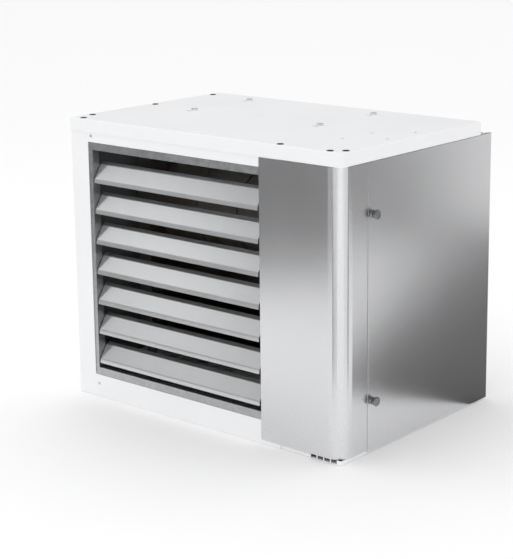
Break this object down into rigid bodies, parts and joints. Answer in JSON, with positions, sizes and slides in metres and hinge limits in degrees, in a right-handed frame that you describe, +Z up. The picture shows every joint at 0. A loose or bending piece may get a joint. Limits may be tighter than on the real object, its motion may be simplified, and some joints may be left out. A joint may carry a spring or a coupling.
{
  "type": "gas unit heater",
  "caption": "Suspended warm air heater: louvred outlet, tubular heat exchanger, premix burner behind a hinged side door, rear axial fan.",
  "frame": {"origin": "centre of the casing's underside, under the middle of the lid", "axes": "+Z up to the hanger bosses, -Y to the outlet louvres, +X to the service door"},
  "size_m": [0.85, 0.59, 0.7045],
  "materials": {
    "white_paint": "smooth white powder coat",
    "brushed_steel": "stainless sheet brushed along its height",
    "galvanised": "bright galvanised sheet",
    "zinc_plated": "zinc plated steel",
    "louvre_sheet": "plain rolled sheet, satin",
    "pin_steel": "turned steel",
    "heat_steel": "heat resisting steel",
    "black_plastic": "matt black moulding",
    "ceramic": "glazed ceramic",
    "cast_aluminium": "die cast",
    "dark_metal": "black enamel",
    "fan_grey": "black powder coat",
    "valve_body": "die cast",
    "brass_gas": "plain brass",
    "grey_box": "light grey moulding"
  },
  "bodies": {
    "casing": {"lid": "white_paint", "hanger_rails": "galvanised", "hanger_bosses": "zinc_plated", "lid_plugs": "black_plastic", "lid_rivets": "zinc_plated", "base_tray": "white_paint", "front_frame": "white_paint", "frame_screws": "zinc_plated", "left_panel": "white_paint", "rear_panel": "white_paint", "divider_panel": "galvanised", "corner_cover": "brushed_steel", "latch_post": "galvanised", "latch_strikers": "galvanised", "louvre_frame": "galvanised", "louvre_bushes": "black_plastic", "combustion_chamber": "heat_steel", "return_header": "heat_steel", "exchanger_tubes": "heat_steel", "smoke_box": "heat_steel", "exchanger_stand": "galvanised", "burner_head": "heat_steel", "ignition_electrodes": "ceramic", "blower_housing": "cast_aluminium", "blower_motor": "dark_metal", "gas_valve": "valve_body", "gas_pipe": "brass_gas", "gas_inlet": "brass_gas", "flue_duct": "galvanised", "flue_spigot": "galvanised", "air_spigot": "galvanised", "control_box": "grey_box", "limit_thermostat": "black_plastic", "cable_glands": "black_plastic", "fan_ring": "fan_grey", "fan_guard": "fan_grey", "fan_motor": "dark_metal", "hinge_brackets": "galvanised", "hinge_pins": "zinc_plated"},
    "louvre_1": {"louvre_blade_1": "louvre_sheet", "louvre_pivots_1": "pin_steel"},
    "louvre_2": {"louvre_blade_2": "louvre_sheet", "louvre_pivots_2": "pin_steel"},
    "louvre_3": {"louvre_blade_3": "louvre_sheet", "louvre_pivots_3": "pin_steel"},
    "louvre_4": {"louvre_blade_4": "louvre_sheet", "louvre_pivots_4": "pin_steel"},
    "louvre_5": {"louvre_blade_5": "louvre_sheet", "louvre_pivots_5": "pin_steel"},
    "louvre_6": {"louvre_blade_6": "louvre_sheet", "louvre_pivots_6": "pin_steel"},
    "louvre_7": {"louvre_blade_7": "louvre_sheet", "louvre_pivots_7": "pin_steel"},
    "fan": {"fan_rotor": "fan_grey"},
    "blower_wheel": {"blower_impeller": "dark_metal"},
    "door": {"side_door": "brushed_steel"},
    "upper_latch": {"door_knob_upper": "zinc_plated", "knob_cam_upper": "zinc_plated"},
    "lower_latch": {"door_knob_lower": "zinc_plated", "knob_cam_lower": "zinc_plated"}
  },
  "joints": [
    {"name": "louvre_tilt_1", "type": "hinge", "parent": "casing", "child": "louvre_1", "pos_m": [-0.0835, -0.24754, 0.56797], "axis": [1, 0, 0], "range_deg": [-57, 33]},
    {"name": "louvre_tilt_2", "type": "hinge", "parent": "casing", "child": "louvre_2", "pos_m": [-0.0835, -0.24754, 0.4918], "axis": [1, 0, 0], "range_deg": [-57, 33]},
    {"name": "louvre_tilt_3", "type": "hinge", "parent": "casing", "child": "louvre_3", "pos_m": [-0.0835, -0.24754, 0.41564], "axis": [1, 0, 0], "range_deg": [-57, 33]},
    {"name": "louvre_tilt_4", "type": "hinge", "parent": "casing", "child": "louvre_4", "pos_m": [-0.0835, -0.24754, 0.33947], "axis": [1, 0, 0], "range_deg": [-57, 33]},
    {"name": "louvre_tilt_5", "type": "hinge", "parent": "casing", "child": "louvre_5", "pos_m": [-0.0835, -0.24754, 0.2633], "axis": [1, 0, 0], "range_deg": [-57, 33]},
    {"name": "louvre_tilt_6", "type": "hinge", "parent": "casing", "child": "louvre_6", "pos_m": [-0.0835, -0.24754, 0.18714], "axis": [1, 0, 0], "range_deg": [-57, 33]},
    {"name": "louvre_tilt_7", "type": "hinge", "parent": "casing", "child": "louvre_7", "pos_m": [-0.0835, -0.24754, 0.11097], "axis": [1, 0, 0], "range_deg": [-57, 33]},
    {"name": "fan_spin", "type": "hinge", "parent": "casing", "child": "fan", "pos_m": [-0.0957, 0.227, 0.35], "axis": [0, 1, 0], "continuous": true},
    {"name": "blower_spin", "type": "hinge", "parent": "casing", "child": "blower_wheel", "pos_m": [0.322, 0.02, 0.414], "axis": [0, 1, 0], "continuous": true},
    {"name": "door_swing", "type": "hinge", "parent": "casing", "child": "door", "pos_m": [0.4085, 0.283, 0.336], "axis": [0, 0, 1], "range_deg": [0, 100]},
    {"name": "upper_latch_turn", "type": "hinge", "parent": "door", "child": "upper_latch", "pos_m": [0.4175, -0.158, 0.551], "axis": [1, 0, 0], "range_deg": [0, 90]},
    {"name": "lower_latch_turn", "type": "hinge", "parent": "door", "child": "lower_latch", "pos_m": [0.4175, -0.158, 0.124], "axis": [1, 0, 0], "range_deg": [0, 90]}
  ]
}
